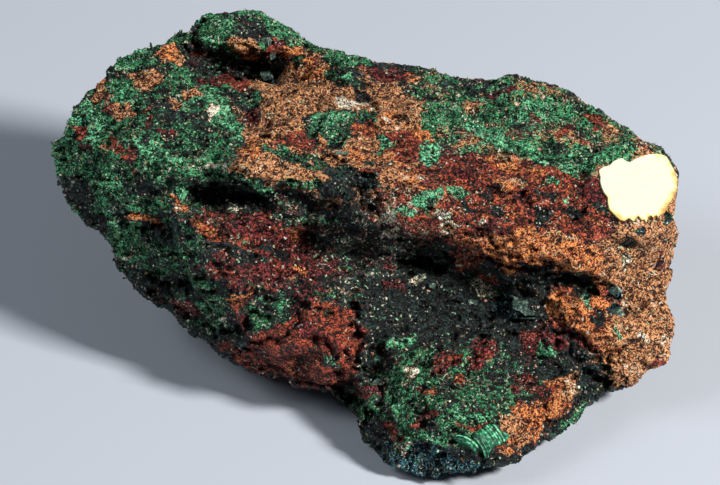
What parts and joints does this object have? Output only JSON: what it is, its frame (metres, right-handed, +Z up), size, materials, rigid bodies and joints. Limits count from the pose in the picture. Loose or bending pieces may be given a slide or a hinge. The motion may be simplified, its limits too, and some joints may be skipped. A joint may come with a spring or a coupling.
{
  "type": "cuprite specimen",
  "caption": "Rough hand specimen of cuprite ore, crusted with malachite and limonite, with a painted catalogue patch on one end; rests on its flat underside.",
  "frame": {"origin": "on the underside, below the middle of the specimen's box", "axes": "+X along the specimen's length, towards the painted patch; +Y to the back; +Z up from the underside"},
  "size_m": [0.1262, 0.0974, 0.0517],
  "materials": {
    "rock": "matte",
    "label_patch": "satin"
  },
  "bodies": {
    "root": {"rock": "rock", "label_patch": "label_patch"}
  },
  "joints": []
}
